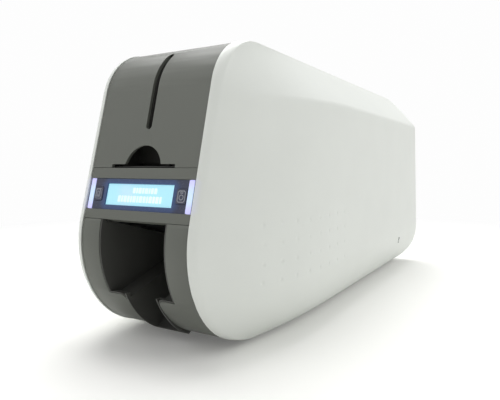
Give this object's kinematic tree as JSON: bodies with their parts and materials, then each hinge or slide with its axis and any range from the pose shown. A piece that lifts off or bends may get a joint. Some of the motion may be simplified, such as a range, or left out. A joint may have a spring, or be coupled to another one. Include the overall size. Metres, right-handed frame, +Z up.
{
  "type": "id card printer",
  "caption": "Slim desktop card printer with a slanted front, hinged hopper and top covers, display panel, card bin, print works and a turning card flipper.",
  "frame": {"origin": "centre of the footprint at the underside of the rubber feet", "axes": "+Z up, -Y towards the front with the display, +X to the right of a person facing the front"},
  "size_m": [0.176, 0.465, 0.22],
  "materials": {
    "white_shell": "satin white, finely textured",
    "grey_band": "matt mid grey",
    "black_plastic": "matt black",
    "cartridge_blue": "satin dark blue",
    "blue_panel": "smooth dark blue",
    "display": "lit pale cyan",
    "light_guide": "lit pale violet white",
    "circuit_board": "green lacquer",
    "steel": "plain",
    "rubber": "matt",
    "roller_rubber": "matt",
    "cleaning_blue": "tacky blue",
    "motor_steel": "black",
    "gear_white": "natural",
    "head_metal": "plain",
    "ribbon_film": "thin film"
  },
  "bodies": {
    "housing": {"left_side_shell": "white_shell", "right_side_shell": "white_shell", "front_bezel": "grey_band", "output_bin": "black_plastic", "control_panel": "grey_band", "display_window": "blue_panel", "lcd_screen": "display", "left_light_bar": "light_guide", "right_light_bar": "light_guide", "panel_board": "circuit_board", "hopper_hinge_pin": "steel", "cover_hinge_pin": "steel", "rear_cover": "grey_band", "dc_inlet": "black_plastic", "usb_port": "steel", "network_port": "steel", "base_pan": "black_plastic", "rubber_feet": "rubber", "left_side_frame": "steel", "right_side_frame": "steel", "frame_tie_rods": "steel", "card_cassette": "black_plastic", "card_deck": "black_plastic", "exit_chute": "black_plastic", "drive_motor": "motor_steel", "ribbon_cartridge": "cartridge_blue", "ribbon_film": "ribbon_film", "flipper_motor": "motor_steel", "control_board": "circuit_board"},
    "hopper_lid": {"hopper_cover": "grey_band"},
    "top_lid": {"top_cover": "grey_band", "head_bracket": "steel", "print_head": "head_metal"},
    "left_button": {"left_button": "blue_panel"},
    "right_button": {"right_button": "blue_panel"},
    "power_rocker": {"power_switch": "black_plastic"},
    "card_weight": {"card_weight": "black_plastic"},
    "feed": {"feed_roller": "roller_rubber", "feed_shaft": "steel"},
    "entry": {"entry_roller": "roller_rubber", "entry_shaft": "steel"},
    "platen": {"platen_roller": "roller_rubber", "platen_shaft": "steel"},
    "exit": {"exit_roller": "roller_rubber", "exit_shaft": "steel"},
    "cleaner": {"cleaning_roller": "cleaning_blue"},
    "pinch": {"pinch_roller": "roller_rubber"},
    "motor_pinion": {"motor_pinion": "gear_white"},
    "reduction_gear": {"reduction_gear": "gear_white"},
    "front_idler": {"front_idler_gear": "gear_white"},
    "rear_idler": {"rear_idler_gear": "gear_white"},
    "feed_idler": {"feed_idler_gear": "gear_white"},
    "supply_spool": {"supply_spool": "black_plastic"},
    "takeup_spool": {"takeup_spool": "black_plastic"},
    "flipper": {"flipper_frame": "black_plastic"},
    "flipper_roller_a": {"flipper_roller_a": "roller_rubber"},
    "flipper_roller_b": {"flipper_roller_b": "roller_rubber"},
    "flipper_roller_c": {"flipper_roller_c": "roller_rubber"},
    "flipper_roller_d": {"flipper_roller_d": "roller_rubber"},
    "flipper_pinion": {"flipper_pinion": "gear_white"}
  },
  "joints": [
    {"name": "hopper_cover_hinge", "type": "hinge", "parent": "housing", "child": "hopper_lid", "pos_m": [0, -0.0955, 0.2135], "axis": [-1, 0, 0], "range_deg": [0, 70]},
    {"name": "top_cover_hinge", "type": "hinge", "parent": "housing", "child": "top_lid", "pos_m": [0, 0.1815, 0.2135], "axis": [-1, 0, 0], "range_deg": [0, 75]},
    {"name": "left_button_press", "type": "slide", "parent": "housing", "child": "left_button", "axis": [0, 0.9659, -0.2588], "range_m": [0, 0.001], "stiffness_N_per_m": 500, "springref_m": -0.0004},
    {"name": "right_button_press", "type": "slide", "parent": "housing", "child": "right_button", "axis": [0, 0.9659, -0.2588], "range_m": [0, 0.001], "stiffness_N_per_m": 500, "springref_m": -0.0004},
    {"name": "power_rocker", "type": "hinge", "parent": "housing", "child": "power_rocker", "pos_m": [0, 0.22538, 0.04548], "axis": [-1, 0, 0], "range_deg": [0, 16]},
    {"name": "card_weight_slide", "type": "slide", "parent": "housing", "child": "card_weight", "axis": [0, 0, 1], "range_m": [0, 0.06]},
    {"name": "platen_spin", "type": "hinge", "parent": "housing", "child": "platen", "pos_m": [0, -0.0075, 0.123], "axis": [-1, 0, 0], "continuous": true},
    {"name": "feed_spin", "type": "hinge", "parent": "housing", "child": "feed", "pos_m": [0, -0.1175, 0.124], "axis": [-1, 0, 0], "continuous": true},
    {"name": "entry_spin", "type": "hinge", "parent": "housing", "child": "entry", "pos_m": [0, -0.0825, 0.124], "axis": [-1, 0, 0], "continuous": true},
    {"name": "exit_spin", "type": "hinge", "parent": "housing", "child": "exit", "pos_m": [0, 0.0675, 0.124], "axis": [-1, 0, 0], "continuous": true},
    {"name": "cleaner_spin", "type": "hinge", "parent": "housing", "child": "cleaner", "pos_m": [0, -0.0825, 0.1373], "axis": [-1, 0, 0], "continuous": true},
    {"name": "pinch_spin", "type": "hinge", "parent": "housing", "child": "pinch", "pos_m": [0, 0.0675, 0.1363], "axis": [-1, 0, 0], "continuous": true},
    {"name": "motor_spin", "type": "hinge", "parent": "housing", "child": "motor_pinion", "pos_m": [0, -0.0075, 0.075], "axis": [-1, 0, 0], "continuous": true},
    {"name": "reduction_spin", "type": "hinge", "parent": "housing", "child": "reduction_gear", "pos_m": [0, -0.0075, 0.096], "axis": [-1, 0, 0], "continuous": true},
    {"name": "front_idler_spin", "type": "hinge", "parent": "housing", "child": "front_idler", "pos_m": [0, -0.045, 0.1235], "axis": [-1, 0, 0], "continuous": true},
    {"name": "rear_idler_spin", "type": "hinge", "parent": "housing", "child": "rear_idler", "pos_m": [0, 0.03, 0.1235], "axis": [-1, 0, 0], "continuous": true},
    {"name": "feed_idler_spin", "type": "hinge", "parent": "housing", "child": "feed_idler", "pos_m": [0, -0.1, 0.11428], "axis": [-1, 0, 0], "continuous": true},
    {"name": "supply_spin", "type": "hinge", "parent": "housing", "child": "supply_spool", "pos_m": [0, -0.0625, 0.172], "axis": [-1, 0, 0], "continuous": true},
    {"name": "takeup_spin", "type": "hinge", "parent": "housing", "child": "takeup_spool", "pos_m": [0, 0.0355, 0.172], "axis": [-1, 0, 0], "continuous": true},
    {"name": "flipper_turn", "type": "hinge", "parent": "housing", "child": "flipper", "pos_m": [0, 0.1425, 0.131], "axis": [-1, 0, 0], "continuous": true},
    {"name": "flipper_pinion_spin", "type": "hinge", "parent": "housing", "child": "flipper_pinion", "pos_m": [0, 0.1425, 0.101], "axis": [-1, 0, 0], "continuous": true},
    {"name": "flipper_roller_a_spin", "type": "hinge", "parent": "flipper", "child": "flipper_roller_a", "pos_m": [0, 0.1185, 0.12485], "axis": [-1, 0, 0], "continuous": true},
    {"name": "flipper_roller_b_spin", "type": "hinge", "parent": "flipper", "child": "flipper_roller_b", "pos_m": [0, 0.1185, 0.13715], "axis": [-1, 0, 0], "continuous": true},
    {"name": "flipper_roller_c_spin", "type": "hinge", "parent": "flipper", "child": "flipper_roller_c", "pos_m": [0, 0.1665, 0.12485], "axis": [-1, 0, 0], "continuous": true},
    {"name": "flipper_roller_d_spin", "type": "hinge", "parent": "flipper", "child": "flipper_roller_d", "pos_m": [0, 0.1665, 0.13715], "axis": [-1, 0, 0], "continuous": true}
  ],
  "couplings": [
    {"joint": "feed_spin", "follows": "platen_spin", "ratio": 1},
    {"joint": "entry_spin", "follows": "platen_spin", "ratio": 1},
    {"joint": "exit_spin", "follows": "platen_spin", "ratio": 1},
    {"joint": "cleaner_spin", "follows": "platen_spin", "ratio": -1.1667},
    {"joint": "pinch_spin", "follows": "platen_spin", "ratio": -1.4},
    {"joint": "front_idler_spin", "follows": "platen_spin", "ratio": -0.47059},
    {"joint": "rear_idler_spin", "follows": "platen_spin", "ratio": -0.47059},
    {"joint": "feed_idler_spin", "follows": "platen_spin", "ratio": -1.5},
    {"joint": "reduction_spin", "follows": "platen_spin", "ratio": -0.8},
    {"joint": "motor_spin", "follows": "platen_spin", "ratio": 2},
    {"joint": "takeup_spin", "follows": "supply_spin", "ratio": 1.5},
    {"joint": "flipper_pinion_spin", "follows": "flipper_turn", "ratio": -4},
    {"joint": "flipper_roller_b_spin", "follows": "flipper_roller_a_spin", "ratio": -1},
    {"joint": "flipper_roller_c_spin", "follows": "flipper_roller_a_spin", "ratio": 1},
    {"joint": "flipper_roller_d_spin", "follows": "flipper_roller_a_spin", "ratio": -1}
  ]
}
